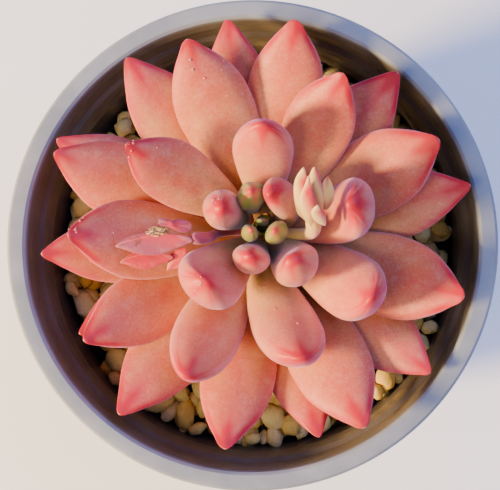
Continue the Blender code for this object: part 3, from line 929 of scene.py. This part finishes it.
def layGrit(shape=gritShape):
    seed_set(shape["seed"])
    kinds = [wornStone(i, shape) for i in range(shape["kinds"])]
    top = gravelHigh.z / mm
    stones = []
    for depth, radii, tries in shape["layers"]:
        for x, y, radius in stonePlaces(shape, radii, tries):
            stone = kinds[len(stones) % len(kinds)].copy()
            stone.data = stone.data.copy()
            bpy.context.scene.collection.objects.link(stone)
            turn = Quaternion([random() - 0.5 for _ in range(4)]).normalized().to_matrix().to_4x4()
            height = top - depth - radius * shape["squash"] - shape["drop"] * random() ** 2
            place = Vector((x, y, height)) * mm
            settle = Matrix.Translation(place) @ Matrix.Diagonal((1, 1, shape["squash"], 1))
            stone.data.transform(settle @ Matrix.Scale(radius * shape["plump"] * mm, 4) @ turn)
            lift = max(0, max(point.co.z for point in stone.data.vertices) - gravelHigh.z)
            stone.data.transform(Matrix.Translation((0, 0, -lift)))
            setValues(stone.data, "tone", np.full(len(stone.data.vertices), random() ** 0.8))
            stones.append(stone)
    for kind in kinds:
        bpy.data.objects.remove(kind)
    count = len(stones)
    grit = joinPieces(stones, "pumice_stones")
    setPaint(grit, pumiceStone())
    print("grit:", count, "stones")
    return finishPiece(grit, ["gravel"])


soilShape = {  # millimetres
    "bedDrop": 5,  # the soil between the stones lies this far below their tops
    "edgeGap": 0.3,
    "rings": 44,
    "sides": 144,
    "crumbSize": 1.6,
    "crumbHeight": 2.4,
    "crumbLevel": 0.7,  # most of a crumb's height is taken down, not up
}


def laySoil(shape=soilShape):
    # the soil that shows between the stones, crumbled
    top = gravelHigh.z / mm - shape["bedDrop"]
    edge = gravelHigh.x / mm
    bottom = gravelLow.z / mm
    rings = shape["rings"]
    outline = [(soilHigh.x / mm, bottom), (edge - shape["edgeGap"], top)]
    outline += [(edge * (1 - i / rings), top) for i in range(1, rings)] + [(almostNothing, top)]
    selectNothing()
    bpy.ops.mesh.primitive_circle_add(
        vertices=shape["sides"], radius=outline[0][0] * mm, location=(0, 0, bottom * mm), fill_type="NGON"
    )
    bed = bpy.context.object
    bed.name = bed.data.name = "soil_surface"
    applyPlace(bed)
    bpy.ops.object.mode_set(mode="EDIT")
    bpy.ops.mesh.select_mode(type="EDGE")
    bpy.ops.mesh.select_all(action="SELECT")
    bpy.ops.mesh.region_to_loop()
    for (radius, height), (nextRadius, nextHeight) in zip(outline, outline[1:]):
        bpy.ops.mesh.extrude_edges_move(
            TRANSFORM_OT_translate={"value": (0, 0, (nextHeight - height) * mm)}
        )
        share = nextRadius / radius
        bpy.ops.transform.resize(value=(share, share, 1), center_override=(0, 0, 0))
    bpy.ops.mesh.select_all(action="SELECT")
    bpy.ops.mesh.remove_doubles(threshold=0.02 * mm)
    bpy.ops.mesh.normals_make_consistent(inside=False)
    bpy.ops.object.mode_set(mode="OBJECT")
    crumbs = bpy.data.textures.new("crumbs", "CLOUDS")
    crumbs.noise_scale = shape["crumbSize"] * mm
    crumbs.noise_depth = 3
    for point in bed.data.vertices:
        point.select = point.co.z > (top - 0.1) * mm
    group = bed.vertex_groups.new(name="top")
    group.add([p.index for p in bed.data.vertices if p.select], 1, "REPLACE")
    rough = bed.modifiers.new("crumbs", "DISPLACE")
    rough.texture = crumbs
    rough.vertex_group = "top"
    rough.strength = shape["crumbHeight"] * mm
    rough.mid_level = shape["crumbLevel"]
    applyAll(bed)
    smooth(bed)
    setPaint(bed, pottingSoil())
    print("soil surface")
    return finishPiece(bed)


def setStage():
    # a plain sheet that glows a little, so that it stays pale in the pot's shadow
    selectNothing()
    bpy.ops.mesh.primitive_plane_add(size=6, location=(0, 0, 0))
    floor = bpy.context.object
    floor.name = "floor"
    paper = {
        "Roughness": 0.9, "Base Color": colour("#F6F9FF"),
        "Emission Color": colour("#FFFFFF"), "Emission Strength": 0.22,
    }
    material = newMaterial("pale paper", paper)[0]
    setPaint(floor, material)
    world = bpy.data.worlds.new("studio") if not bpy.data.worlds else bpy.data.worlds[0]
    bpy.context.scene.world = world
    world.use_nodes = True
    sky = world.node_tree.nodes["Background"]
    sky.inputs["Color"].default_value = colour("#AFC2F2")
    sky.inputs["Strength"].default_value = 0.45


lampPlans = {  # bearing and elevation in degrees, distance and size in metres, power in watts
    "sun side": (196, 27, 0.9, 0.18, 29, "#FFD89A"),
    "high side": (215, 58, 0.9, 0.4, 4, "#FFE2BC"),
    "sky side": (40, 55, 0.9, 0.9, 8, "#86A2FF"),
}


def addLamp(name, bearing, elevation, distance, size, power, tint):
    angle, rise = math.radians(bearing), math.radians(elevation)
    away = Vector((math.cos(angle) * math.cos(rise), math.sin(angle) * math.cos(rise), math.sin(rise)))
    lamp = bpy.data.lights.new(name, "AREA")
    lamp.shape = "DISK"
    lamp.size = size
    lamp.energy = power
    lamp.color = colour(tint)[:3]
    holder = bpy.data.objects.new(name, lamp)
    holder.location = Vector((0, 0, potHigh.z)) + away * distance
    holder.rotation_mode = "QUATERNION"
    holder.rotation_quaternion = (-away).to_track_quat("-Z", "Y")
    bpy.context.scene.collection.objects.link(holder)


cameraPlan = {  # millimetres
    "lens": 119.7,
    "sensor": 36,
    "stands": (15.6, -15.9, 400),
    "looksAt": (-0.14, -0.27, 80),
}


def addCamera(plan=cameraPlan):
    # nearly straight down, a little from the lower right
    camera = bpy.data.cameras.new("camera")
    camera.lens = plan["lens"]
    camera.sensor_width = plan["sensor"]
    holder = bpy.data.objects.new("camera", camera)
    holder.location = Vector(plan["stands"]) * mm
    aim = Vector(plan["looksAt"]) * mm
    back = (holder.location - aim).normalized()
    right = up.cross(back) if abs(back.z) < 0.5 else Vector((0, 1, 0)).cross(back).normalized()
    upright = back.cross(right)
    holder.rotation_mode = "QUATERNION"
    holder.rotation_quaternion = Matrix((right, upright, back)).transposed().to_quaternion()
    camera.clip_start, camera.clip_end = 0.01, 20
    bpy.context.scene.collection.objects.link(holder)
    bpy.context.scene.camera = holder


# Dew: beads of clear water, made opaque and painted near the colour of the wax seen through them, a
# painted stand-in for the light that passes through; very smooth, so each has a sharp glint
def dewOnWax():
    material, tree, shader = newMaterial("dew", {"IOR": 1.333, "Roughness": 0.03, "Coat Weight": 0.6})
    # painted see-through light: a noise makes some beads paler and some deeper, standing in for the light
    # bent through the water
    rings = grain(tree, objectPlace(tree), 0.5, 1)
    base = blendColours(tree, spread(tree, rings, 0.3, 0.7), "#DC7E64", "#F0A890")
    tree.links.new(base, shader.inputs["Base Color"])
    return material


dropShape = {
    "leaves": (
        "middle_leaf_3", "middle_leaf_1", "inner_leaf_3",
        "inner_leaf_5", "heart_leaf_7", "middle_leaf_4",
    ),
    "flatness": 0.72,  # height of a bead against its width
    "spread": 0.22,  # how much wider it grows towards the leaf
    "outOfRound": 0.2,
    "stands": 0.3,  # of its radius, clear of the leaf
    "perLeaf": 7,
    "radii": (0.10, 0.27),  # millimetres
    "steepest": 0.55,  # they sit where the leaf faces up at least this much
    "seed": 23,
}


def beadOfWater(face, radius, shape):
    # a dome pressed flat by its own weight, wider low down and a little out of round
    selectNothing()
    bpy.ops.mesh.primitive_uv_sphere_add(segments=12, ring_count=8, radius=1, location=(0, 0, 0))
    bead = bpy.context.object
    longer = 1 + shape["outOfRound"] * random()
    for point in bead.data.vertices:
        low = max(0, -point.co.z)
        point.co.x *= longer * (1 + shape["spread"] * low)
        point.co.y *= 1 + shape["spread"] * low
        point.co.z *= shape["flatness"] * (1 - 0.5 * low)
    turn = face.normal.to_track_quat("Z", "Y").to_matrix().to_4x4()
    turn = turn @ Matrix.Rotation(random() * math.tau, 4, "Z")
    place = Matrix.Translation(face.center + face.normal * radius * shape["stands"])
    bead.data.transform(place @ turn @ Matrix.Scale(radius, 4))
    return bead


def waterDrops(shape=dropShape):
    # beads of water left on the wax of a few leaves
    seed_set(shape["seed"])
    smallest, largest = shape["radii"]
    drops = []
    for node in shape["leaves"]:
        leaf = bpy.data.objects[node + "_flesh"].data
        faces = [face for face in leaf.polygons if face.normal.z > shape["steepest"]]
        spot = faces[int(random() * len(faces))].center
        near = sorted(faces, key=lambda face: (face.center - spot).length)[: len(faces) // 4]
        for _ in range(shape["perLeaf"]):
            face = near[int(random() * len(near))]
            radius = (smallest + (largest - smallest) * random() ** 2) * mm
            drops.append(beadOfWater(face, radius, shape))
    water = applyPlace(joinPieces(drops, "water_drops"))
    smooth(water)
    setPaint(water, dewOnWax())
    print("water drops:", len(drops))
    return finishPiece(water)


def dressCadNodes():
    setPaintOnNode("stem", stemBark())
    setPaintOnNode("soil", pottingSoil())


def setPaintOnNode(node, material):
    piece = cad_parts[node]
    for slot in piece.material_slots:
        slot.link = "OBJECT"
        slot.material = material


addCamera()
setStage()
for lampName, plan in lampPlans.items():
    addLamp(lampName, *plan)
pottingPot()
laySoil()
layGrit()
dressCadNodes()
makeLeaves()
makeFlowers()
waterDrops()
